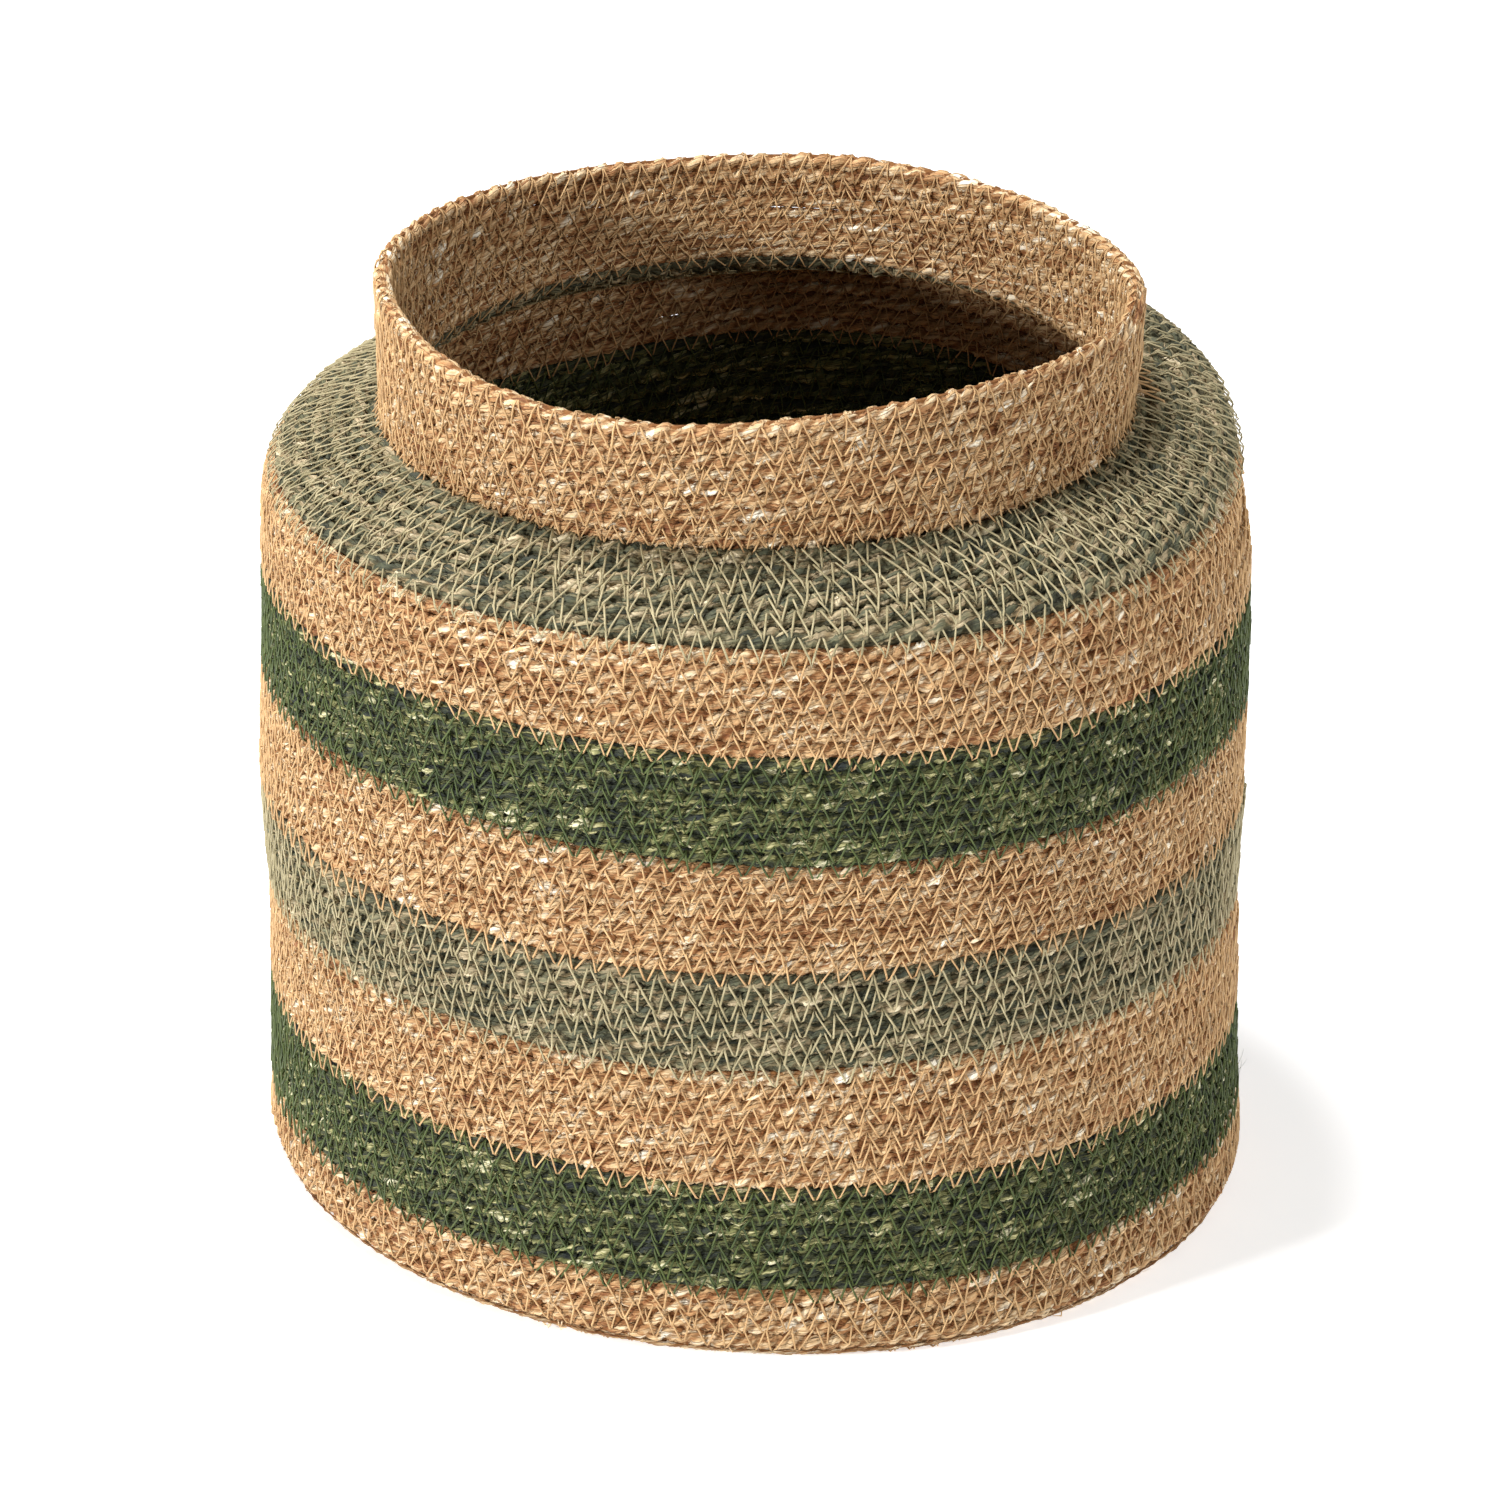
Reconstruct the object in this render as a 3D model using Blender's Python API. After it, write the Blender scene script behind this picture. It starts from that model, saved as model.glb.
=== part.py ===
"""A round market basket: long runs of twisted grass cord, coiled up and sewn to each other with zigzag thread.

Metres, +Z up, standing on the floor at z = 0, with its overall width centred on the origin.
Each colour of cord is one continuous run, so each run is one ring. The thread that sews a run is a thin
sleeve just outside that run.
"""

import math

import bmesh
import bpy
from mathutils import Vector

# Driving dimensions
BODY_RADIUS = 0.1805
BASE_RADIUS = 0.1440
WALL = 0.0060
GAP = 0.0003
THREAD = 0.0005
SEGMENTS = 60

# The outer face of the cord from the edge of the base to the top of the rim, as (radius, height).
BASE_EDGE = (BASE_RADIUS, 0.0)
HEEL_FOOT = (0.1765, 0.0)
HEEL_TURN = (0.1811, 0.0017)
HEEL_SIDE = (0.1826, 0.0065)
HEEL_TOP = (0.1829, 0.0272)
LOWER_GREEN_TOP = (0.1813, 0.0673)
LOW_NATURAL_TOP = (BODY_RADIUS, 0.1125)
SAGE_TOP = (0.1820, 0.1510)
MIDDLE_NATURAL_TOP = (BODY_RADIUS, 0.1924)
UPPER_GREEN_TOP = (0.1796, 0.2329)
WALL_BEND = (0.1785, 0.2620)
WALL_TOP = (0.1748, 0.2720)
SHOULDER_BEND = (0.1668, 0.2780)
SHOULDER_TOP = (0.1345, 0.2892)
NECK_TOP = (0.1363, 0.3310)
RIM_TOP = (0.1368, 0.3370)

# Each run of cord: name, colour, and the outer face it covers, from the bottom up.
RUNS = (
    ("heel", "natural", (BASE_EDGE, HEEL_FOOT, HEEL_TURN, HEEL_SIDE, HEEL_TOP)),
    ("lower_green", "green", (HEEL_TOP, LOWER_GREEN_TOP)),
    ("low_natural", "natural", (LOWER_GREEN_TOP, LOW_NATURAL_TOP)),
    ("sage", "sage", (LOW_NATURAL_TOP, SAGE_TOP)),
    ("middle_natural", "natural", (SAGE_TOP, MIDDLE_NATURAL_TOP)),
    ("upper_green", "green", (MIDDLE_NATURAL_TOP, UPPER_GREEN_TOP)),
    ("high_natural", "natural", (UPPER_GREEN_TOP, WALL_BEND, WALL_TOP)),
    ("shoulder", "sage", (WALL_TOP, SHOULDER_BEND, SHOULDER_TOP)),
    ("neck", "natural", (SHOULDER_TOP, NECK_TOP)),
    ("rim", "natural", (NECK_TOP, RIM_TOP)),
)

# The basket was sewn by hand. Its wall leans to -X by this much for each metre of height, and the middle of
# its base stands this far to +X, so that its overall width is centred.
WALL_LEAN = -0.039
BASE_OFFSET = 0.0032

# How far each height of coil rises towards +X, as (height, slope).
COIL_TILT = (
    (0.0, 0.0),
    (0.0272, 0.009),
    (0.0673, 0.003),
    (0.1125, 0.014),
    (0.1510, 0.019),
    (0.1924, 0.001),
    (0.2329, 0.005),
    (0.2720, 0.018),
    (0.2892, 0.042),
    (0.3370, 0.034),
)

CORD_COLOURS = {
    "natural": (0.445, 0.270, 0.130, 1.0),
    "green": (0.050, 0.065, 0.035, 1.0),
    "sage": (0.125, 0.130, 0.085, 1.0),
}
THREAD_COLOURS = {
    "natural": (0.560, 0.370, 0.190, 1.0),
    "green": (0.085, 0.110, 0.028, 1.0),
    "sage": (0.360, 0.310, 0.180, 1.0),
}
CORD_ROUGHNESS = 0.80
THREAD_ROUGHNESS = 0.65


def clear_scene():
    for item in list(bpy.data.objects):
        bpy.data.objects.remove(item, do_unlink=True)


def make_material(name, colour, roughness):
    material = bpy.data.materials.new(name)
    material.use_nodes = True
    surface = material.node_tree.nodes["Principled BSDF"]
    surface.inputs["Base Color"].default_value = colour
    surface.inputs["Roughness"].default_value = roughness
    surface.inputs["Metallic"].default_value = 0.0
    material.diffuse_color = colour
    return material


def cord_material(colour):
    return make_material(colour + "_cord", CORD_COLOURS[colour], CORD_ROUGHNESS)


def thread_material(colour):
    return make_material(colour + "_thread", THREAD_COLOURS[colour], THREAD_ROUGHNESS)


def wall_path():
    """Every point of the outer face, from the base's edge to the rim, with no point twice."""
    path = [Vector(BASE_EDGE)]
    for _name, _colour, points in RUNS:
        path.extend(Vector(point) for point in points[1:])
    return path


def outward_normals(path):
    """At each point of the path, the step along the corner's bisector that moves both its sides out by one."""
    sides = []
    for first, second in zip(path, path[1:]):
        along = (second - first).normalized()
        sides.append(Vector((along.y, -along.x)))
    normals = [sides[0]]
    for before, after in zip(sides, sides[1:]):
        middle = (before + after).normalized()
        normals.append(middle / middle.dot(before))
    normals.append(sides[-1])
    return normals


def offset_path(path, normals, distance):
    return [point + normal * distance for point, normal in zip(path, normals)]


def trimmed(points, low_end, high_end):
    """The points with each end moved in along its own side by the length given for it."""
    points = list(points)
    points[0] = points[0] + (points[1] - points[0]).normalized() * low_end
    points[-1] = points[-1] + (points[-2] - points[-1]).normalized() * high_end
    return points


def tilt_at(height):
    """The slope of the coils at this height, read off the COIL_TILT table in straight lines."""
    for (low, first), (high, second) in zip(COIL_TILT, COIL_TILT[1:]):
        if height <= high:
            return first + (second - first) * max(0.0, height - low) / (high - low)
    return COIL_TILT[-1][1]


def lean_points(vertices):
    for vertex in vertices:
        x, height = vertex.co.x, vertex.co.z
        vertex.co.z = height + tilt_at(height) * x
        vertex.co.x = x + WALL_LEAN * height + BASE_OFFSET


def new_object(name, bm, material):
    bmesh.ops.recalc_face_normals(bm, faces=bm.faces)
    mesh = bpy.data.meshes.new(name)
    bm.to_mesh(mesh)
    bm.free()
    mesh.materials.append(material)
    made = bpy.data.objects.new(name, mesh)
    bpy.context.collection.objects.link(made)
    return made


def shade_round(made, angle):
    """Smooth shading, with every edge sharper than the angle kept crisp."""
    for face in made.data.polygons:
        face.use_smooth = True
    made.data.set_sharp_from_angle(angle=math.radians(angle))


def revolve(name, outline, material):
    """A ring: a closed outline of (radius, height) points spun once round the Z axis."""
    bm = bmesh.new()
    corners = [bm.verts.new((point.x, 0.0, point.y)) for point in outline]
    edges = [bm.edges.new((a, b)) for a, b in zip(corners, corners[1:] + corners[:1])]
    bmesh.ops.spin(
        bm,
        geom=corners + edges,
        cent=(0.0, 0.0, 0.0),
        axis=(0.0, 0.0, 1.0),
        angle=2.0 * math.pi,
        steps=SEGMENTS,
        use_merge=True,
    )
    bmesh.ops.remove_doubles(bm, verts=bm.verts, dist=0.00001)
    lean_points(bm.verts)
    made = new_object(name, bm, material)
    shade_round(made, 35.0)
    return made


def disc(name, radius, low, high, material):
    bpy.ops.mesh.primitive_cylinder_add(
        vertices=SEGMENTS,
        radius=radius,
        depth=high - low,
        end_fill_type="NGON",
    )
    made = bpy.context.active_object
    made.name = name
    made.data.name = name
    for vertex in made.data.vertices:
        vertex.co.z = low if vertex.co.z < 0.0 else high
        vertex.co.x += BASE_OFFSET + WALL_LEAN * vertex.co.z
    made.data.materials.clear()
    made.data.materials.append(material)
    shade_round(made, 35.0)
    return made


def run_slice(path, points):
    """The first and last index on the path of the run that covers these points."""
    start = path.index(Vector(points[0]))
    return start, start + len(points)


def make_base(cord, thread):
    """The flat spiral underfoot and, on its upper face, the thread that holds it."""
    disc("base_coil", BASE_RADIUS - GAP / 2.0, 0.0, WALL, cord)
    disc("base_thread", BASE_RADIUS - 0.004, WALL + GAP, WALL + GAP + THREAD, thread)


def make_cord_run(name, outer, inner, material):
    face = trimmed(outer, GAP / 2.0, GAP / 2.0)
    back = trimmed(inner, GAP / 2.0, GAP / 2.0)
    return revolve(name, face + back[::-1], material)


def make_thread_run(name, near, far, material):
    face = trimmed(far, GAP, GAP)
    back = trimmed(near, GAP, GAP)
    return revolve(name, face + back[::-1], material)


def raised(point, height):
    return point + Vector((0.0, height))


def make_rim_thread(path, normals, material):
    """The stitches that go over the top edge of the rim: a thin channel turned upside down on the rim coil."""
    outer_near = offset_path(path, normals, GAP)
    outer_far = offset_path(path, normals, GAP + THREAD)
    inner_near = offset_path(path, normals, -WALL - GAP)
    inner_far = offset_path(path, normals, -WALL - GAP - THREAD)
    outline = (
        raised(outer_near[0], GAP),
        raised(outer_far[0], GAP),
        raised(outer_far[1], GAP + THREAD),
        raised(inner_far[1], GAP + THREAD),
        raised(inner_far[0], GAP),
        raised(inner_near[0], GAP),
        raised(inner_near[1], GAP),
        raised(outer_near[1], GAP),
    )
    return revolve("rim_thread", list(outline), material)


def build():
    clear_scene()
    cords = {colour: cord_material(colour) for colour in CORD_COLOURS}
    threads = {colour: thread_material(colour) for colour in THREAD_COLOURS}
    make_base(cords["natural"], threads["natural"])
    path = wall_path()
    normals = outward_normals(path)
    inner = offset_path(path, normals, -WALL)
    near = offset_path(path, normals, GAP)
    far = offset_path(path, normals, GAP + THREAD)
    for name, colour, points in RUNS:
        start, end = run_slice(path, points)
        make_cord_run(name + "_coil", path[start:end], inner[start:end], cords[colour])
        if name == "rim":
            make_rim_thread(path[start:end], normals[start:end], threads[colour])
            continue
        if name == "heel":
            start += 2
        make_thread_run(name + "_thread", near[start:end], far[start:end], threads[colour])


build()
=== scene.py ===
"""The coiled market basket, finished: twisted grass cord, zigzag sewing thread and loose ends on the frame.

The cord is one long coil. It starts in the middle of the base, runs out over the floor, turns up at the
heel, climbs the wall, leans in over the shoulder and stands up again in the collar. Each colour is one run.
"""

import math
import random

import bpy
import numpy as np
from mathutils import Matrix, Vector, noise


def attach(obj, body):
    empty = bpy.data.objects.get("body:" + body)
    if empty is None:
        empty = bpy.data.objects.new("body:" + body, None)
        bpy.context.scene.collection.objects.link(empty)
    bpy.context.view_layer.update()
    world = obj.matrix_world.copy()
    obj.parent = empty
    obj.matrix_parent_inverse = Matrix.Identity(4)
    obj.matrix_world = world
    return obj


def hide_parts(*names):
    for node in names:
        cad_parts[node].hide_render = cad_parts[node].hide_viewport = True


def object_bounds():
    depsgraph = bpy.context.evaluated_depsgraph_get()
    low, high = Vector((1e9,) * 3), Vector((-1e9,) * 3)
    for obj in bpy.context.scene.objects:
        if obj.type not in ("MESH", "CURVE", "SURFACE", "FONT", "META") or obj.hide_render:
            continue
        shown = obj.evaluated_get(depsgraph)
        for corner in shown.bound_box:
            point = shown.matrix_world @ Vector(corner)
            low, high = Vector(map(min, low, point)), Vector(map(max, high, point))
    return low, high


# The outer face of the wall, as (radius, height), from the middle of the base to the lip.
WALL = 0.0060
CENTRE = (0.0, 0.0)
BASE_EDGE = (0.1440, 0.0)
HEEL_FOOT = (0.1806, 0.0)
HEEL_TURN = (0.1838, 0.0)
HEEL_SIDE = (0.1824, 0.0065)
HEEL_TOP = (0.1814, 0.0272)
LOWER_GREEN_TOP = (0.1808, 0.0673)
LOW_NATURAL_TOP = (0.1801, 0.1125)
SAGE_TOP = (0.1813, 0.1510)
MIDDLE_NATURAL_TOP = (0.1805, 0.1924)
UPPER_GREEN_TOP = (0.1796, 0.2329)
WALL_BEND = (0.1785, 0.2620)
WALL_TOP = (0.1748, 0.2720)
SHOULDER_BEND = (0.1668, 0.2780)
SHOULDER_TOP = (0.1345, 0.2900)
NECK_TOP = (0.1363, 0.3310)
RIM_TOP = (0.1368, 0.3370)

# Runs of cord from the middle of the base to the lip: name, colour, turns of the coil, and their corners.
RUNS = (
    ("base", "natural", 25, (CENTRE, BASE_EDGE)),
    ("heel", "natural", 11, (BASE_EDGE, HEEL_FOOT, HEEL_TURN, HEEL_SIDE, HEEL_TOP)),
    ("lower_green", "green", 8, (HEEL_TOP, LOWER_GREEN_TOP)),
    ("low_natural", "natural", 8, (LOWER_GREEN_TOP, LOW_NATURAL_TOP)),
    ("sage", "sage", 6, (LOW_NATURAL_TOP, SAGE_TOP)),
    ("middle_natural", "natural", 8, (SAGE_TOP, MIDDLE_NATURAL_TOP)),
    ("upper_green", "green", 8, (MIDDLE_NATURAL_TOP, UPPER_GREEN_TOP)),
    ("high_natural", "natural", 7, (UPPER_GREEN_TOP, WALL_BEND, WALL_TOP)),
    ("shoulder", "sage", 6, (WALL_TOP, SHOULDER_BEND, SHOULDER_TOP)),
    ("neck", "natural", 8, (SHOULDER_TOP, NECK_TOP)),
    ("rim", "natural", 1, (NECK_TOP, RIM_TOP)),
)

# The wall leans to -X, and each height of coil rises a little towards +X.
WALL_LEAN = -0.039
BASE_OFFSET = 0.0032
TILT_HEIGHTS = (0.0, 0.0272, 0.0673, 0.1125, 0.1510, 0.1924, 0.2329, 0.2720, 0.2892, 0.3370)
TILT_SLOPES = (0.0, 0.009, 0.003, 0.014, 0.019, 0.001, 0.005, 0.018, 0.042, 0.034)

# The lip's uneven outline, as waves round it: (waves, cosine, sine).
LIP_WAVES = (
    (1, -0.0024, -0.0007),
    (2, -0.0028, 0.0012),
    (3, 0.0034, 0.0011),
    (4, 0.0016, -0.0034),
)
LIP_VIEW_SLOPE = 0.464

# Places where the wall is puffed out or pressed in: angle and its spread, travel past the shoulder's foot
# and its spread, and how far up and out it goes.
DENTS = (
    (0.60, 0.75, 0.006, 0.026, 0.016, 0.002),
    (0.00, 0.55, -0.012, 0.014, 0.000, -0.0055),
    (0.00, 0.60, -0.130, 0.050, 0.000, -0.0018),
    (3.10, 0.70, 0.000, 0.022, -0.0004, -0.0010),
    (1.30, 0.85, -0.040, 0.052, 0.0200, 0.0000),
    (1.75, 1.20, 0.044, 0.020, 0.0075, 0.0000),
    (0.42, 0.65, 0.092, 0.040, 0.0024, 0.0019),
    (1.75, 0.50, 0.092, 0.040, -0.0012, 0.0000),
    (3.14, 0.80, 0.092, 0.040, 0.0000, 0.0018),
)

# The wall's outline is drawn in fine steps, and its corners are eased over this many of them.
PROFILE_STEP = 0.00025
PROFILE_PAD = 0.012
EASING_REACH = 24
EASING_SPREAD = 8.0
EASING_TRIM = 30
TILT_STEP = 0.0005

# The hand's wobble dies away towards the middle of the base, and the floor keeps the lowest rows level.
CALM_TRAVEL = 0.15
LEVEL_HEIGHT = 0.02

# The turns of the coil are level but for this first part of each, where the coil climbs by one row.
SEAM_ANGLE = 0.0
CLIMB_SHARE = 0.25
SPIRAL_TURNS = (16.0, 27.0)

# The cord starts this far round its first turn, the sewing starts at this turn, and nothing is closer to the
# middle of the base than this.
COIL_START = 0.7
SEWING_START = 2
INNER_TRAVEL = 0.002

# The coil's end is thinned over this last part of the top turn, and sewn down.
END_SHARE = 0.10
END_THICKNESS = 0.22

FACING_X = (0.0, math.pi / 2.0, 0.0)
STEPS_PER_TURN = 96
STITCH = 0.0082
LENGTH_STITCHES = 36
CORD_SEED = 40
SEWING_SEED = 700
THREAD_RADIUS = {"natural": 0.00036, "green": 0.00038, "sage": 0.00040}
INNER_THREAD = 0.85
CORD_LAY = {"natural": 0.0150, "green": 0.0150, "sage": 0.0170}
CORD_FULLNESS = 1.06
CORD_PACKING = {"natural": 1.10, "green": 1.10, "sage": 1.08}
CORD_CORNERS = {"natural": 9, "green": 8, "sage": 10}
LOW_RUNS = ("base", "heel")
LOW_CORNERS = 8
# The flattened tube of painted shade between the rows: its length, size and depth.
FILLING_LENGTH = 0.016
FILLING_SIZE = 0.56
FILLING_DEPTH = 0.42
LAYS_PER_LENGTH = 6
LUMP_SIZE = 0.0038
LUMP_DEPTH = 0.0013
GRAIN_TURN = 0.8
CORD_SWELL = 0.05
SEWING_SWELL = 0.02

# Loose ends of grass of each colour: how many hairs and husks, and the seeds of their places.
HAIRS = {"natural": (420, 11), "green": (160, 12), "sage": (150, 13)}
HUSKS = {"natural": (90, 21), "green": (30, 22), "sage": (12, 23)}
HAIR_RADIUS = 0.00011
HUSK_RADIUS = 0.00062
SCRAP_FLOOR = 0.0004
MEAN_RADIUS = 0.17

FLOOR_SIZE = 6.0
FLOOR_DROP = 0.0014
WORLD_LIGHT = 0.20
LIGHT_AIM = (0.0, 0.0, 0.16)

# Lamps: name, place, width, power and tint.
LAMPS = (
    ("left_softbox", (-1.9, -1.5, 0.74), 0.26, 62.0, (0.985, 0.985, 0.99)),
    ("top_softbox", (-0.5, 0.2, 2.4), 0.6, 66.0, (0.99, 0.99, 1.0)),
    ("right_fill", (1.9, -1.7, 1.15), 0.8, 31.0, (1.0, 0.99, 0.98)),
)

CAMERA_RISE = 24.92
CAMERA_AIM = (0.0002, 0.0, 0.1503)
CAMERA_DISTANCE = 2.16
CAMERA_LENS = 139.2
CAMERA_FILM = 36.0

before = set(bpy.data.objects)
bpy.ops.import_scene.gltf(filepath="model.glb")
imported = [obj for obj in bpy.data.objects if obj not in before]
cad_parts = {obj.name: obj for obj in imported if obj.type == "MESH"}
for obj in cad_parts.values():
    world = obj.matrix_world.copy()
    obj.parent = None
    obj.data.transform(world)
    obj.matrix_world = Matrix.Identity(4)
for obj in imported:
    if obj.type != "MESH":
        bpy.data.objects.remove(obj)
cad_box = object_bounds()


# ---------------------------------------------------------------- the wall that everything lies on


def smooth_wall():
    """The cord's middle line up the wall, eased round its corners, and where each run starts on it."""
    corners = [CENTRE]
    for _name, _colour, _turns, faces in RUNS:
        corners.extend(faces[1:])
    corners = np.array(corners)
    lengths = np.concatenate([[0.0], np.cumsum(np.hypot(*np.diff(corners, axis=0).T))])
    fine = np.arange(-PROFILE_PAD, lengths[-1] + PROFILE_PAD, PROFILE_STEP)
    radius = np.interp(fine, lengths, corners[:, 0])
    height = np.interp(fine, lengths, corners[:, 1])
    before = fine < 0.0
    after = fine > lengths[-1]
    radius[before] = fine[before]
    height[after] = RIM_TOP[1] + fine[after] - lengths[-1]
    window = np.exp(-0.5 * (np.arange(-EASING_REACH, EASING_REACH + 1) / EASING_SPREAD) ** 2)
    window /= window.sum()
    radius = np.convolve(radius, window, "same")[EASING_TRIM:-EASING_TRIM]
    height = np.convolve(height, window, "same")[EASING_TRIM:-EASING_TRIM]
    fine = fine[EASING_TRIM:-EASING_TRIM]
    along_r = np.gradient(radius)
    along_h = np.gradient(height)
    size = np.hypot(along_r, along_h)
    middle_r = radius - along_h / size * WALL / 2.0
    middle_h = height + along_r / size * WALL / 2.0
    travel = np.concatenate([[0.0], np.cumsum(np.hypot(np.diff(middle_r), np.diff(middle_h)))])
    travel -= np.interp(0.0, fine, travel)
    starts = {}
    corner = 0
    for name, _colour, _turns, faces in RUNS:
        starts[name] = float(np.interp(lengths[corner], fine, travel))
        corner += len(faces) - 1
    starts["end"] = float(np.interp(lengths[corner], fine, travel))
    return travel, middle_r, middle_h, starts


TRAVEL, MIDDLE_R, MIDDLE_H, STARTS = smooth_wall()
RUN_ENDS = dict(zip(list(STARTS), list(STARTS.values())[1:]))
FIRST_TURN = {}
TOTAL_TURNS = 0
for run_name, _run_colour, run_turns, _run_faces in RUNS:
    FIRST_TURN[run_name] = TOTAL_TURNS
    TOTAL_TURNS += run_turns
COLLAR_TURNS = TOTAL_TURNS - FIRST_TURN["neck"]
COLLAR_PITCH = (STARTS["end"] - STARTS["neck"]) / COLLAR_TURNS
STARTS["rim"] = STARTS["end"] - COLLAR_PITCH
RUN_ENDS["neck"] = STARTS["rim"]
ROW_COUNTS = [float(FIRST_TURN[run[0]]) for run in RUNS] + [float(TOTAL_TURNS)]
ROW_TRAVELS = [STARTS[run[0]] for run in RUNS] + [STARTS["end"]]


def ease(share):
    """From 0 to 1 with no sudden start or stop."""
    share = min(1.0, max(0.0, share))
    return share * share * (3.0 - 2.0 * share)


def rows_wound(turn):
    """The rows from the middle of the base up to the top of the cord, after this many turns."""
    whole = math.floor(turn)
    part = turn - whole
    level = ease((turn - SPIRAL_TURNS[0]) / (SPIRAL_TURNS[1] - SPIRAL_TURNS[0]))
    return whole + part + (ease(part / CLIMB_SHARE) - part) * level


def top_row_share(part):
    """How much of the coil's last row there is, at this part of a turn past the seam."""
    return min(ease(part / CLIMB_SHARE), 1.0 - ease((part - 1.0 + END_SHARE) / END_SHARE))


def collar_stretch(rows, part):
    """The collar's rows are a little thicker where the coil's end leaves one fewer, so its lip is even."""
    if rows <= FIRST_TURN["neck"]:
        return 1.0
    return COLLAR_TURNS / (COLLAR_TURNS - 1.0 + top_row_share(part))


def row_travel(rows, part):
    """The travel up the wall of this many rows of cord, at this part of a turn past the seam."""
    first = FIRST_TURN["neck"]
    if rows > first:
        rows = first + (rows - first) * collar_stretch(rows, part)
    return float(np.interp(rows, ROW_COUNTS, ROW_TRAVELS))


def lip_wave(angle):
    return sum(c * math.cos(n * angle) + s * math.sin(n * angle) for n, c, s in LIP_WAVES)


def hand_wobble(travel, angle):
    """How far the sewer's hand strays from the true circle here, as (outwards, upwards)."""
    east, north = math.cos(angle), math.sin(angle)
    slow = Vector((1.4 * east, 1.4 * north, 10.0 * travel))
    quick = Vector((7.0 * east, 7.0 * north, 140.0 * travel))
    calm = min(1.0, travel / CALM_TRAVEL)
    up = 0.0022 * noise.noise(slow) + 0.00055 * noise.noise(quick)
    out = 0.0016 * noise.noise(slow + Vector((9.0, 3.0, 5.0))) + 0.0005 * noise.noise(quick * 1.3)
    on_collar = (travel - STARTS["neck"]) / (STARTS["end"] - STARTS["neck"])
    grown = min(1.0, max(0.0, on_collar)) ** 0.8
    wave = lip_wave(angle) * grown
    out += wave * (east * east + 0.5 * north * north)
    up += 0.5 * wave * north * LIP_VIEW_SLOPE
    for middle, spread, start, reach, rise, push in DENTS:
        turned = (angle - middle + math.pi) % (2.0 * math.pi) - math.pi
        share = math.exp(-((turned / spread) ** 2) - ((travel - STARTS["shoulder"] - start) / reach) ** 2)
        up += rise * share
        out += push * share
    return out * calm, up * calm


def wall_place(travel, angle, lift=0.0):
    """A place on the wall (lift is outwards from the cord's middle line), and the wall's tilt there."""
    radius = float(np.interp(travel, TRAVEL, MIDDLE_R))
    height = float(np.interp(travel, TRAVEL, MIDDLE_H))
    step_r = float(np.interp(travel + TILT_STEP, TRAVEL, MIDDLE_R)) - radius
    step_h = float(np.interp(travel + TILT_STEP, TRAVEL, MIDDLE_H)) - height
    tilt = math.atan2(step_r, step_h)
    out, up = hand_wobble(travel, angle)
    radius += lift * math.cos(tilt) + out
    height -= lift * math.sin(tilt)
    x = radius * math.cos(angle)
    y = radius * math.sin(angle)
    off_floor = max(0.0, min(1.0, height / LEVEL_HEIGHT))
    slope = float(np.interp(height, TILT_HEIGHTS, TILT_SLOPES))
    raised = height + up * off_floor + slope * x
    return Vector((x + WALL_LEAN * height + BASE_OFFSET, y, raised)), tilt


def row_height(rows, part, angle):
    """How far apart the edges of the row of cord are here, which is more where the wall is puffed out."""
    low, _tilt = wall_place(max(INNER_TRAVEL, row_travel(rows - 0.5, part)), angle)
    high, _tilt = wall_place(max(2.0 * INNER_TRAVEL, row_travel(rows + 0.5, part)), angle)
    return (high - low).length


def fold_share(rows, part, angle):
    """How much of its full height the sewing keeps where two rows meet at an angle, as at the heel."""
    _low, below = wall_place(max(INNER_TRAVEL, row_travel(rows - 0.5, part)), angle)
    _high, above = wall_place(max(2.0 * INNER_TRAVEL, row_travel(rows + 0.5, part)), angle)
    return math.cos(0.6 * abs(above - below))


def coil_guide(name, first, last, below, pitch, seed, swell):
    """The guide curve that a length of cord or sewing is bent along, from one turn of the coil to another.
    It runs this many rows below the top of the coil: half a row for the cord, and one for its seam."""
    count = int((last - first) * STEPS_PER_TURN)
    curve = bpy.data.curves.new(name, "CURVE")
    curve.dimensions = "3D"
    curve.twist_mode = "Z_UP"
    curve.use_radius = True
    curve.use_stretch = True
    curve.use_deform_bounds = True
    spline = curve.splines.new("POLY")
    spline.points.add(count)
    for index, point in enumerate(spline.points):
        turn = first + (last - first) * index / count
        part = 1.0 if index == count else turn - math.floor(turn)
        rows = rows_wound(turn) - below
        thick = 1.0
        if turn > TOTAL_TURNS - 0.5:
            thick = top_row_share(part)
            rows -= (1.0 - thick) * (1.0 - below)
        elif turn < first + 1.0 and first < 1.0:
            thick = turn - first
        angle = SEAM_ANGLE + 2.0 * math.pi * turn
        place, tilt = wall_place(max(INNER_TRAVEL, row_travel(rows, part)), angle)
        point.co = (*place, 1.0)
        point.tilt = tilt
        thick = max(END_THICKNESS, thick)
        if rows > 2.0:
            thick *= row_height(rows, part, angle) / pitch
        if below > 0.5:
            thick *= fold_share(rows, part, angle)
        point.radius = thick * (1.0 + swell * noise.noise(Vector((seed * 3.7, turn * 19.0, 0.5))))
    guide = bpy.data.objects.new(name, curve)
    bpy.context.collection.objects.link(guide)
    return guide


def guide_length(guide):
    points = np.array([tuple(point.co)[:3] for point in guide.data.splines[0].points])
    return float(np.linalg.norm(np.diff(points, axis=0), axis=1).sum())


# ---------------------------------------------------------------- modelling steps


def start_piece(name):
    made = bpy.context.active_object
    made.name = name
    made.data.name = name
    return made


def clear_selection():
    if bpy.context.mode != "OBJECT":
        bpy.ops.object.mode_set(mode="OBJECT")
    bpy.ops.object.select_all(action="DESELECT")


def select_only(made):
    clear_selection()
    made.select_set(True)
    bpy.context.view_layer.objects.active = made


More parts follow.
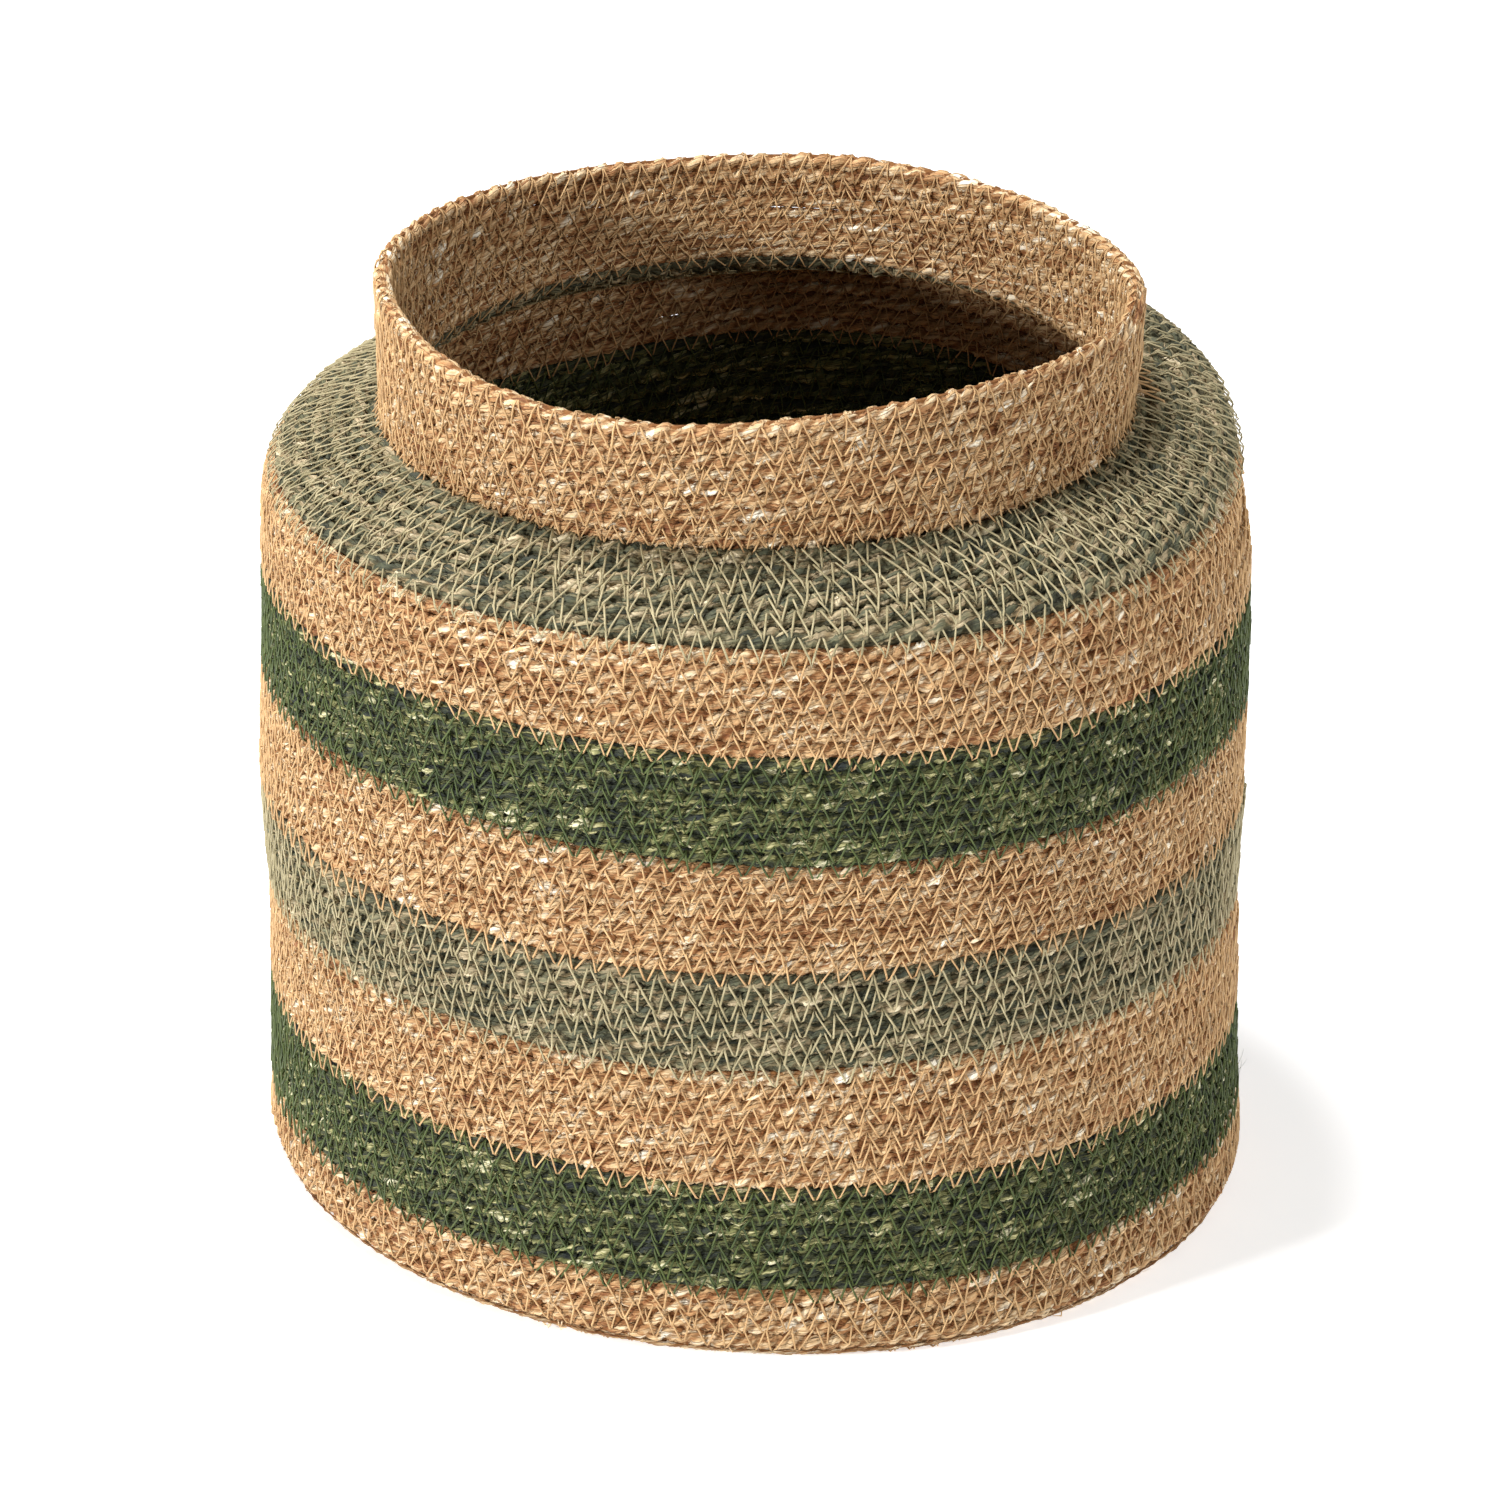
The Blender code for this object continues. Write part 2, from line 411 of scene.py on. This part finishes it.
def apply_all(made):
    select_only(made)
    for modifier in list(made.modifiers):
        bpy.ops.object.modifier_apply(modifier=modifier.name)


def remove_helper(made):
    bpy.data.objects.remove(made, do_unlink=True)


def twist_cord_length(name, thickness, lay, corners, steps, seed):
    """A straight length of two-strand cord along X: a waisted ring, drawn out and turned step by step."""
    dice = random.Random(seed)
    clear_selection()
    bpy.ops.mesh.primitive_circle_add(vertices=corners, radius=thickness / 2.0, rotation=FACING_X)
    cord = start_piece(name)
    bpy.ops.object.transform_apply(location=False, rotation=True, scale=False)
    for vertex in cord.data.vertices:
        around = math.atan2(vertex.co.z, vertex.co.y)
        waist = 0.5 - 0.5 * math.cos(2.0 * around)
        vertex.co *= 1.06 - 0.38 * waist ** 1.6
    bpy.ops.object.mode_set(mode="EDIT")
    bpy.ops.mesh.select_all(action="SELECT")
    stride = lay / corners
    turn = 2.0 * math.pi / corners
    size = 1.0
    for step in range(1, steps + 1):
        bpy.ops.mesh.extrude_region_move(TRANSFORM_OT_translate={"value": (stride, 0.0, 0.0)})
        middle = (stride * step, 0.0, 0.0)
        bpy.ops.transform.rotate(value=turn, orient_axis="X", center_override=middle)
        wanted = 1.0 if step == steps else dice.uniform(0.90, 1.10)
        change = wanted / size
        bpy.ops.transform.resize(value=(1.0, change, change), center_override=middle)
        size = wanted
    bpy.ops.object.mode_set(mode="OBJECT")
    lay_out_grain(cord, corners, stride)
    return cord


def lay_out_grain(cord, corners, stride):
    """Two UV maps on the cord, both with U in metres along it and V in turns round it. In strands, V follows
    the two strands, and in grain it follows the blades of grass, which lie nearly along the cord."""
    mesh = cord.data
    strands = mesh.uv_layers.new(name="strands")
    grain = mesh.uv_layers.new(name="grain")
    first, second = mesh.vertices[0].co, mesh.vertices[1].co
    way = 1.0 if first.y * second.z > first.z * second.y else -1.0
    for face in mesh.polygons:
        rings = [mesh.loops[loop].vertex_index // corners for loop in face.loop_indices]
        spots = [mesh.loops[loop].vertex_index % corners for loop in face.loop_indices]
        wraps = max(spots) - min(spots) > 1
        for loop, ring, spot in zip(face.loop_indices, rings, spots):
            if wraps and spot == 0:
                spot = corners
            strands.data[loop].uv = (ring * stride, spot / corners)
            grain.data[loop].uv = (ring * stride, (spot - GRAIN_TURN * way * ring) / corners)


def bend_along(made, guide, length, merge):
    """The length repeated until it fills the guide, and bent along it."""
    count = max(1, round(guide_length(guide) / length))
    if count > 1:
        repeat = made.modifiers.new("repeat", "ARRAY")
        repeat.fit_type = "FIXED_COUNT"
        repeat.count = count
        repeat.use_relative_offset = False
        repeat.use_constant_offset = True
        repeat.constant_offset_displace = (length, 0.0, 0.0)
        repeat.use_merge_vertices = merge
        repeat.merge_threshold = 0.0001
        repeat.offset_u = length
    bend = made.modifiers.new("bend", "CURVE")
    bend.object = guide
    bend.deform_axis = "POS_X"
    apply_all(made)


def close_ends(made):
    select_only(made)
    bpy.ops.object.mode_set(mode="EDIT")
    bpy.ops.mesh.select_all(action="SELECT")
    bpy.ops.mesh.fill_holes(sides=16)
    bpy.ops.mesh.normals_make_consistent(inside=False)
    bpy.ops.object.mode_set(mode="OBJECT")


def roughen(made, texture, strength):
    """Uneven packing of the grass in the cord."""
    lumps = made.modifiers.new("lumps", "DISPLACE")
    lumps.texture = texture
    lumps.texture_coords = "LOCAL"
    lumps.mid_level = 0.5
    lumps.strength = strength
    apply_all(made)


def finish_piece(made, material, node):
    made.data.materials.clear()
    made.data.materials.append(material)
    for face in made.data.polygons:
        face.use_smooth = True
    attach(made, "root")
    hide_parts(node)


# ---------------------------------------------------------------- cord


def lump_texture():
    lumps = bpy.data.textures.new("grass_lumps", "CLOUDS")
    lumps.noise_scale = LUMP_SIZE
    lumps.noise_depth = 1
    return lumps


def make_cord_run(index, run, material, painted_shade_tube, lumps):
    name, colour, turns, _faces = run
    pitch = (RUN_ENDS[name] - STARTS[name]) / turns
    corners = LOW_CORNERS if name in LOW_RUNS else CORD_CORNERS[colour]
    steps = corners * LAYS_PER_LENGTH
    lay = CORD_LAY[colour]
    cord = twist_cord_length(name + "_cord", pitch * CORD_FULLNESS, lay, corners, steps, CORD_SEED + index)
    select_only(cord)
    cord.scale = (1.0, 1.0, CORD_PACKING[colour])
    bpy.ops.object.transform_apply(location=False, rotation=False, scale=True)
    first = FIRST_TURN[name] + (COIL_START if name == "base" else 0.0)
    guide = coil_guide(name + "_guide", first, FIRST_TURN[name] + turns, 0.5, pitch, index, CORD_SWELL)
    bend_along(cord, guide, lay * LAYS_PER_LENGTH, True)
    close_ends(cord)
    roughen(cord, lumps, LUMP_DEPTH)
    finish_piece(cord, material, name + "_coil")
    make_painted_shade_tube(name, colour, pitch, guide, painted_shade_tube)
    remove_helper(guide)


def make_painted_shade_tube(name, colour, pitch, guide, material):
    """A flattened tube deep between the rows, which closes the gap between one row and the next; its dark
    colour is painted shade between the rows.
    """
    clear_selection()
    bpy.ops.mesh.primitive_circle_add(vertices=6, radius=pitch * FILLING_SIZE, rotation=FACING_X)
    painted_shade_tube = start_piece(name + "_painted_shade_tube")
    painted_shade_tube.scale = (1.0, FILLING_DEPTH, 1.0)
    bpy.ops.object.transform_apply(location=False, rotation=True, scale=True)
    bpy.ops.object.mode_set(mode="EDIT")
    bpy.ops.mesh.select_all(action="SELECT")
    bpy.ops.mesh.extrude_region_move(TRANSFORM_OT_translate={"value": (FILLING_LENGTH, 0.0, 0.0)})
    bpy.ops.object.mode_set(mode="OBJECT")
    bend_along(painted_shade_tube, guide, FILLING_LENGTH, True)
    close_ends(painted_shade_tube)
    painted_shade_tube.data.materials.clear()
    painted_shade_tube.data.materials.append(material)
    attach(painted_shade_tube, "root")
    colour + "_cord"


# ---------------------------------------------------------------- sewing thread


def stitch_profile(pitch, rim, thread):
    """Half a stitch, from its lowest hole to its highest, as (up the wall, out from it) points."""
    low = (-0.90 * pitch, 0.20 * pitch)
    surface = 0.5 * pitch * CORD_FULLNESS + thread * 0.6
    knee = (-0.60 * pitch, surface)
    if rim:
        return (low, knee, (0.56 * pitch, surface), (0.90 * pitch, 0.72 * surface), (1.08 * pitch, 0.0))
    return (low, knee, (0.60 * pitch, surface), (0.90 * pitch, 0.20 * pitch))


def sew_length(name, pitch, thread, stitches, side, seed, rim):
    """A straight length of zigzag sewing along X, on the outer (side = -1) or inner (side = 1) face."""
    dice = random.Random(seed)
    profile = stitch_profile(pitch, rim, thread)
    low, high = profile[0][0], profile[-1][0]
    curve = bpy.data.curves.new(name, "CURVE")
    curve.dimensions = "3D"
    curve.bevel_depth = thread
    curve.bevel_resolution = 0
    curve.use_fill_caps = True
    points = []
    slant = 0.0
    shift = 0.0
    reach = 1.0
    foot = 0.0
    for stitch in range(stitches):
        if stitch % 5 == 0:
            slant = dice.uniform(-0.26, 0.14)
            shift = 0.0 if rim else dice.uniform(-0.14, 0.14) * pitch
            reach = 1.0 if rim else dice.uniform(0.88, 1.08)
        peak = STITCH * (stitch + 0.5 + slant + dice.uniform(-0.12, 0.12))
        next_foot = STITCH * (stitch + 1 + dice.uniform(-0.16, 0.16))
        if stitch == stitches - 1:
            next_foot = STITCH * stitches
        hang = dice.uniform(-0.10, 0.02 if rim else 0.10) * pitch + shift
        rise = dice.uniform(-0.4, 0.6) * thread
        bow = dice.uniform(-0.07, 0.07) * STITCH
        for up, out in profile[:-1]:
            share = (up - low) / (high - low)
            along = foot + (peak - foot) * share + bow * math.sin(math.pi * share)
            points.append((along, side * (out + rise), up * reach + hang))
        for up, out in profile[:0:-1]:
            share = (high - up) / (high - low)
            along = peak + (next_foot - peak) * share - bow * math.sin(math.pi * share)
            points.append((along, side * (out + rise * 0.3), up * reach + hang))
        foot = next_foot
    points.append((foot, side * profile[0][1], low))
    spline = curve.splines.new("POLY")
    spline.points.add(len(points) - 1)
    for point, place in zip(spline.points, points):
        point.co = (*place, 1.0)
    made = bpy.data.objects.new(name, curve)
    bpy.context.collection.objects.link(made)
    select_only(made)
    bpy.ops.object.convert(target="MESH")
    return bpy.context.active_object


def make_thread_run(index, run, material):
    name, colour, turns, _faces = run
    pitch = (RUN_ENDS[name] - STARTS[name]) / turns
    first = FIRST_TURN[name] + (SEWING_START if name == "base" else 0)
    faces = []
    for side in (-1, 1):
        label = name + ("_outer_sewing" if side < 0 else "_inner_sewing")
        seed = SEWING_SEED + index * 2 + side
        thread = THREAD_RADIUS[colour] * (1.0 if side < 0 else INNER_THREAD)
        sewing = sew_length(label, pitch, thread, LENGTH_STITCHES, side, seed, name == "rim")
        last = FIRST_TURN[name] + turns
        guide = coil_guide(label + "_guide", first, last, 1.0, pitch, index, SEWING_SWELL)
        bend_along(sewing, guide, STITCH * LENGTH_STITCHES, False)
        remove_helper(guide)
        faces.append(sewing)
    select_only(faces[0])
    faces[1].select_set(True)
    bpy.ops.object.join()
    stitches = start_piece(name + "_thread_stitches")
    finish_piece(stitches, material, name + "_thread")


# ---------------------------------------------------------------- loose hairs


def start_scraps(name, thickness):
    """An empty curve of this thickness, for the fine ends of grass of one kind."""
    curve = bpy.data.curves.new(name, "CURVE")
    curve.dimensions = "3D"
    curve.bevel_depth = thickness
    curve.bevel_resolution = 0
    curve.use_fill_caps = True
    return curve


def visible_runs(colour):
    """The runs of one colour that aren't under the basket, and how far up the wall each goes."""
    runs = [run for run in RUNS if run[1] == colour and run[0] != "base"]
    return runs, [RUN_ENDS[run[0]] - STARTS[run[0]] for run in runs]


def finish_scraps(curve, material):
    """The curve made a mesh, with its finish."""
    made = bpy.data.objects.new(curve.name, curve)
    bpy.context.collection.objects.link(made)
    select_only(made)
    bpy.ops.object.convert(target="MESH")
    scraps = bpy.context.active_object
    scraps.data.materials.clear()
    scraps.data.materials.append(material)
    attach(scraps, "root")


def make_loose_hairs(colour, count, material, seed):
    """Fine ends of grass that stand off the cord, all of one colour."""
    dice = random.Random(seed)
    runs, spans = visible_runs(colour)
    curve = start_scraps(colour + "_loose_hairs", HAIR_RADIUS)
    for _hair in range(count):
        run = dice.choices(runs, spans)[0]
        travel = dice.uniform(STARTS[run[0]], RUN_ENDS[run[0]])
        angle = dice.uniform(-math.pi, math.pi)
        length = dice.uniform(0.003, 0.009)
        climb = dice.uniform(-0.5, 0.9)
        stand = dice.uniform(0.1, 0.8)
        spline = curve.splines.new("POLY")
        spline.points.add(3)
        for number, point in enumerate(spline.points):
            share = number / 3.0
            along = angle + share * length / MEAN_RADIUS
            up = travel + climb * share * length
            lift = 0.0024 + stand * length * (share - 0.35 * share * share)
            place, _tilt = wall_place(up, along, lift)
            place.z = max(place.z, SCRAP_FLOOR)
            point.co = (*place, 1.0)
            point.radius = 1.0 - 0.6 * share
    finish_scraps(curve, material)


def make_husks(colour, count, material, seed):
    """Short pale flakes of leaf that have worked out of the cord and lie on it."""
    dice = random.Random(seed)
    runs, spans = visible_runs(colour)
    curve = start_scraps(colour + "_husks", HUSK_RADIUS)
    for _husk in range(count):
        run = dice.choices(runs, spans)[0]
        pitch = (RUN_ENDS[run[0]] - STARTS[run[0]]) / run[2]
        angle = dice.uniform(-math.pi, math.pi)
        part = ((angle - SEAM_ANGLE) / (2.0 * math.pi)) % 1.0
        turn = FIRST_TURN[run[0]] + dice.randrange(run[2]) + part
        travel = row_travel(rows_wound(turn) - 0.5 + dice.uniform(-0.2, 0.2), part)
        length = dice.uniform(0.004, 0.009)
        climb = dice.uniform(0.15, 0.6)
        girth = dice.uniform(0.6, 1.3)
        spline = curve.splines.new("POLY")
        spline.points.add(3)
        for number, point in enumerate(spline.points):
            share = number / 3.0 - 0.5
            lift = pitch * 0.50 + 0.0003 - 4.0 * share * share * 0.0007
            along = angle + share * length / MEAN_RADIUS
            place, _tilt = wall_place(travel + climb * share * length, along, lift)
            place.z = max(place.z, SCRAP_FLOOR)
            point.co = (*place, 1.0)
            point.radius = girth * (1.0 - 3.0 * share * share)
    finish_scraps(curve, material)


# ---------------------------------------------------------------- finishes


class Value:
    """A number or colour somewhere in a material. Sums on values add Math nodes."""

    def __init__(self, paint, socket):
        self.paint = paint
        self.socket = socket

    def math(self, operation, *others):
        return self.paint.node("ShaderNodeMath", {"operation": operation}, dict(enumerate((self, *others))))

    def __add__(self, other):
        return self.math("ADD", other)

    def __sub__(self, other):
        return self.math("SUBTRACT", other)

    def __mul__(self, other):
        return self.math("MULTIPLY", other)

    def __truediv__(self, other):
        return self.math("DIVIDE", other)

    def __gt__(self, other):
        return self.math("GREATER_THAN", other)

    def cos(self):
        return self.math("COSINE")

    def sin(self):
        return self.math("SINE")


class Paint:
    """One material and the nodes that feed it."""

    def __init__(self, name):
        self.material = bpy.data.materials.new(name)
        self.material.use_nodes = True
        self.tree = self.material.node_tree
        self.surface = self.tree.nodes["Principled BSDF"]

    def node(self, kind, settings=None, inputs=None, output=0):
        made = self.tree.nodes.new(kind)
        for key, setting in (settings or {}).items():
            if key == "stops":
                self.set_stops(made.color_ramp, setting)
            else:
                setattr(made, key, setting)
        for key, given in (inputs or {}).items():
            self.feed(made.inputs[key], given)
        return Value(self, made.outputs[output])

    def set_stops(self, ramp, stops):
        while len(ramp.elements) < len(stops):
            ramp.elements.new(1.0)
        for element, (position, colour) in zip(ramp.elements, stops):
            element.position = position
            element.color = (*colour, 1.0)

    def feed(self, socket, given):
        if isinstance(given, Value):
            self.tree.links.new(given.socket, socket)
        else:
            socket.default_value = given

    def blend(self, share, first, second, way="MIX"):
        made = self.tree.nodes.new("ShaderNodeMix")
        made.data_type = "RGBA"
        made.blend_type = way
        self.feed(made.inputs[0], share)
        self.feed(made.inputs[6], first)
        self.feed(made.inputs[7], second)
        return Value(self, made.outputs[2])

    def ramp(self, value, stops):
        return self.node("ShaderNodeValToRGB", {"stops": stops}, {0: value})

    def finish(self, colour, roughness, height, strength, distance, plain):
        relief = {"Strength": strength, "Distance": distance, "Height": height}
        bump = self.node("ShaderNodeBump", {}, relief)
        self.feed(self.surface.inputs["Base Color"], colour)
        self.feed(self.surface.inputs["Roughness"], roughness)
        self.feed(self.surface.inputs["Normal"], bump)
        for key, given in plain.items():
            self.surface.inputs[key].default_value = given
        return self.material


def srgb(red, green, blue):
    """A colour given as 0 to 255 steps of display brightness, in linear light."""
    steps = (red / 255.0, green / 255.0, blue / 255.0)
    return tuple(step / 12.92 if step <= 0.04045 else ((step + 0.055) / 1.055) ** 2.4 for step in steps)


# Painted shade: the groove between the cord's two strands keeps this share of its colour at its deepest. The
# groove and the gaps between blades are darkened towards these tints, and the broad noise darkens towards
# them too as uneven tone.
PAINTED_GROOVE_SHADE = 0.24
PAINTED_SHADE_AND_TONE_TINTS = {"natural": (0.46, 0.27, 0.12), "green": (0.34, 0.36, 0.22), "sage": (0.42, 0.35, 0.22)}
# Painted shade: the dark colours of the tubes deep between the rows.
PAINTED_SHADE_TUBE_COLOURS = {
    "natural": (srgb(98, 60, 30), srgb(138, 94, 54)),
    "green": (srgb(26, 32, 20), srgb(52, 58, 34)),
    "sage": (srgb(50, 46, 32), srgb(84, 78, 56)),
}
HUSK_SHADES = {
    "natural": (srgb(210, 172, 124), srgb(246, 226, 192)),
    "green": (srgb(112, 118, 72), srgb(190, 184, 130)),
    "sage": (srgb(134, 122, 92), srgb(190, 176, 138)),
}
CORD_STRANDS = {
    "natural": (
        (0.00, srgb(126, 80, 42)),
        (0.20, srgb(171, 124, 79)),
        (0.42, srgb(199, 162, 115)),
        (0.62, srgb(216, 187, 144)),
        (0.80, srgb(232, 213, 180)),
        (1.00, srgb(244, 236, 216)),
    ),
    "green": (
        (0.00, srgb(24, 32, 34)),
        (0.26, srgb(52, 58, 42)),
        (0.46, srgb(84, 88, 52)),
        (0.64, srgb(124, 124, 74)),
        (0.80, srgb(186, 180, 130)),
        (1.00, srgb(232, 226, 190)),
    ),
    "sage": (
        (0.00, srgb(44, 48, 36)),
        (0.26, srgb(80, 82, 61)),
        (0.46, srgb(118, 114, 85)),
        (0.64, srgb(152, 136, 105)),
        (0.82, srgb(186, 168, 134)),
        (1.00, srgb(218, 204, 170)),
    ),
}
THREAD_SHADES = {
    "natural": (srgb(168, 132, 89), srgb(207, 171, 122)),
    "green": (srgb(48, 62, 26), srgb(80, 92, 42)),
    "sage": (srgb(138, 128, 94), srgb(178, 166, 130)),
}


def grass_cord_finish(colour):
    """Twisted grass: narrow flat blades, each with its own shade and its own fine veins, darkened with
    painted shade in the groove between the two strands and in the gaps between the blades.
    """
    paint = Paint(colour + "_grass_cord")
    grain = paint.node("ShaderNodeUVMap", {"uv_map": "grain"})
    along = paint.node("ShaderNodeSeparateXYZ", {}, {0: grain}, 0)
    around = paint.node("ShaderNodeSeparateXYZ", {}, {0: grain}, 1) * (2.0 * math.pi)
    across_x = around.cos()
    across_y = around.sin()
    place = paint.node("ShaderNodeTexCoord", {}, {}, 3)

    def wrapped(length, width):
        spot = {0: along / length, 1: across_x * width, 2: across_y * width}
        return paint.node("ShaderNodeCombineXYZ", {}, spot)

    def shifted(spot):
        return paint.node("ShaderNodeVectorMath", {"operation": "ADD"}, {0: spot, 1: offset})

    def cell_shade(spot):
        cell = paint.node("ShaderNodeTexVoronoi", {}, {"Vector": spot, "Scale": 1.0}, 1)
        return paint.node("ShaderNodeSeparateXYZ", {}, {0: cell}, 0)

    broad = paint.node("ShaderNodeTexNoise", {}, {"Vector": place, "Scale": 11.0, "Detail": 2.0})
    patch = paint.node("ShaderNodeTexNoise", {}, {"Vector": place, "Scale": 75.0, "Detail": 2.0})
    offset = paint.node("ShaderNodeVectorMath", {"operation": "SCALE"}, {0: place, "Scale": 31.0})
    blade_place = shifted(wrapped(0.014, 1.7))
    blade = cell_shade(blade_place)
    to_edge = {"feature": "DISTANCE_TO_EDGE"}
    edge = paint.node("ShaderNodeTexVoronoi", to_edge, {"Vector": blade_place, "Scale": 1.0})
    # The gaps between the blades: darkened below as painted shade, and used for the bump.
    crack = paint.node("ShaderNodeMapRange", {}, {0: edge, 1: 0.0, 2: 0.12, 3: 0.0, 4: 1.0})
    vein_place = shifted(wrapped(0.006, 6.5))
    vein = paint.node("ShaderNodeTexNoise", {}, {"Vector": vein_place, "Scale": 1.0, "Detail": 3.0})
    pale = cell_shade(shifted(wrapped(0.010, 0.55))) > 0.92
    brown = cell_shade(shifted(wrapped(0.009, 0.55))) > 0.88
    tone = blade * 0.58 + vein * 0.90 + patch * 0.60 - 0.58
    tone = tone + pale * 0.30 - brown * 0.18
    body = paint.ramp(tone, CORD_STRANDS[colour])
    strands = paint.node("ShaderNodeUVMap", {"uv_map": "strands"})
    strand_turn = paint.node("ShaderNodeSeparateXYZ", {}, {0: strands}, 1) * (4.0 * math.pi)
    # Painted shade in the groove between the two strands.
    depth = {0: strand_turn.cos(), 1: -1.0, 2: -0.2, 3: PAINTED_GROOVE_SHADE, 4: 1.0}
    painted_groove_shade = paint.node("ShaderNodeMapRange", {}, depth)
    # Painted shade in the groove and the gaps between blades, with the broad noise as uneven tone.
    shade_and_tone_share = (crack * 0.50 + 0.50) * (broad * 0.40 + 0.80) * painted_groove_shade
    shade_and_tone_colour = paint.blend(shade_and_tone_share, (*PAINTED_SHADE_AND_TONE_TINTS[colour], 1.0), (1.0, 1.0, 1.0, 1.0))
    body = paint.blend(1.0, body, shade_and_tone_colour, "MULTIPLY")
    height = crack * 0.55 + vein * 0.45
    rough = vein * 0.25 + 0.55
    return paint.finish(body, rough, height, 0.9, 0.0009, {"Specular IOR Level": 0.35})


def painted_shade_tube_finish(colour):
    """Painted shade deep between the rows: dark brown, finely streaked."""
    paint = Paint(colour + "_painted_shade_tube")
    place = paint.node("ShaderNodeTexCoord", {}, {}, 3)
    streak = paint.node("ShaderNodeTexNoise", {}, {"Vector": place, "Scale": 500.0, "Detail": 2.0})
    low, high = PAINTED_SHADE_TUBE_COLOURS[colour]
    body = paint.ramp(streak, ((0.35, low), (0.65, high)))
    return paint.finish(body, streak * 0.2 + 0.7, streak, 0.6, 0.0006, {"Specular IOR Level": 0.2})


def sewing_thread_finish(colour):
    """Spun thread: a little gloss, a fuzzy surface and small changes of shade."""
    paint = Paint(colour + "_sewing_thread")
    place = paint.node("ShaderNodeTexCoord", {}, {}, 3)
    shade = paint.node("ShaderNodeTexNoise", {}, {"Vector": place, "Scale": 180.0, "Detail": 3.0})
    fuzz = paint.node("ShaderNodeTexNoise", {}, {"Vector": place, "Scale": 2600.0, "Detail": 2.0})
    dull, bright = THREAD_SHADES[colour]
    body = paint.ramp(shade, ((0.32, dull), (0.68, bright)))
    rough = fuzz * 0.2 + 0.5
    return paint.finish(body, rough, fuzz, 0.5, 0.0003, {"Specular IOR Level": 0.4})


def husk_finish(colour):
    """Dry leaf: pale, streaked and matt."""
    paint = Paint(colour + "_husk")
    place = paint.node("ShaderNodeTexCoord", {}, {}, 3)
    streak = paint.node("ShaderNodeTexNoise", {}, {"Vector": place, "Scale": 420.0, "Detail": 3.0})
    low, high = HUSK_SHADES[colour]
    body = paint.ramp(streak, ((0.35, low), (0.62, high)))
    return paint.finish(body, streak * 0.2 + 0.5, streak, 0.5, 0.0004, {"Specular IOR Level": 0.35})


def floor_finish():
    paint = Paint("pale_floor")
    place = paint.node("ShaderNodeTexCoord", {}, {}, 3)
    grit = paint.node("ShaderNodeTexNoise", {}, {"Vector": place, "Scale": 40.0})
    tone = paint.ramp(grit, ((0.0, (0.90, 0.90, 0.90)), (1.0, (0.93, 0.93, 0.93))))
    glow = {"Specular IOR Level": 0.1, "Emission Color": (1.0, 1.0, 1.0, 1.0), "Emission Strength": 0.52}
    return paint.finish(tone, 0.9, grit, 0.02, 0.0005, glow)


# ---------------------------------------------------------------- studio


def make_floor():
    clear_selection()
    bpy.ops.mesh.primitive_plane_add(size=FLOOR_SIZE, location=(0.0, 0.0, cad_box[0][2] - FLOOR_DROP))
    floor = start_piece("studio_floor")
    floor.data.materials.append(floor_finish())


def make_light(name, place, size, power, tint):
    lamp = bpy.data.lights.new(name, "AREA")
    lamp.shape = "DISK"
    lamp.size = size
    lamp.energy = power
    lamp.color = tint
    made = bpy.data.objects.new(name, lamp)
    bpy.context.collection.objects.link(made)
    made.location = place
    aim = Vector(LIGHT_AIM) - Vector(place)
    made.rotation_euler = aim.to_track_quat("-Z", "Y").to_euler()


def make_studio():
    make_floor()
    world = bpy.data.worlds.new("studio_world")
    world.use_nodes = True
    world.node_tree.nodes["Background"].inputs[0].default_value = (1.0, 1.0, 1.0, 1.0)
    world.node_tree.nodes["Background"].inputs[1].default_value = WORLD_LIGHT
    bpy.context.scene.world = world
    for lamp in LAMPS:
        make_light(*lamp)
    bpy.context.scene.view_settings.view_transform = "Standard"


def make_camera():
    """In front, two metres away, looking down a little through a long lens, and turned with the wall."""
    rise = math.radians(CAMERA_RISE)
    roll = Matrix.Rotation(WALL_LEAN, 3, "Y")
    aim = roll @ Vector(CAMERA_AIM) + Vector((BASE_OFFSET, 0.0, 0.0))
    back = roll @ Vector((0.0, -math.cos(rise), math.sin(rise)))
    right = roll @ Vector((1.0, 0.0, 0.0))
    lens = bpy.data.cameras.new("front_camera")
    lens.lens = CAMERA_LENS
    lens.sensor_width = CAMERA_FILM
    lens.clip_start = 0.05
    lens.clip_end = 30.0
    made = bpy.data.objects.new("front_camera", lens)
    bpy.context.collection.objects.link(made)
    made.location = aim + back * CAMERA_DISTANCE
    made.rotation_euler = Matrix((right, back.cross(right), back)).transposed().to_euler()
    bpy.context.scene.camera = made


def make_basket():
    cord_finishes = {colour: grass_cord_finish(colour) for colour in CORD_STRANDS}
    thread_finishes = {colour: sewing_thread_finish(colour) for colour in THREAD_SHADES}
    painted_shade_tubes = {colour: painted_shade_tube_finish(colour) for colour in PAINTED_SHADE_TUBE_COLOURS}
    lumps = lump_texture()
    for index, run in enumerate(RUNS):
        make_cord_run(index, run, cord_finishes[run[1]], painted_shade_tubes[run[1]], lumps)
        make_thread_run(index, run, thread_finishes[run[1]])
    for colour, (count, seed) in HUSKS.items():
        make_husks(colour, count, husk_finish(colour), seed)
    for colour, (count, seed) in HAIRS.items():
        make_loose_hairs(colour, count, thread_finishes[colour], seed)


make_basket()
make_studio()
make_camera()
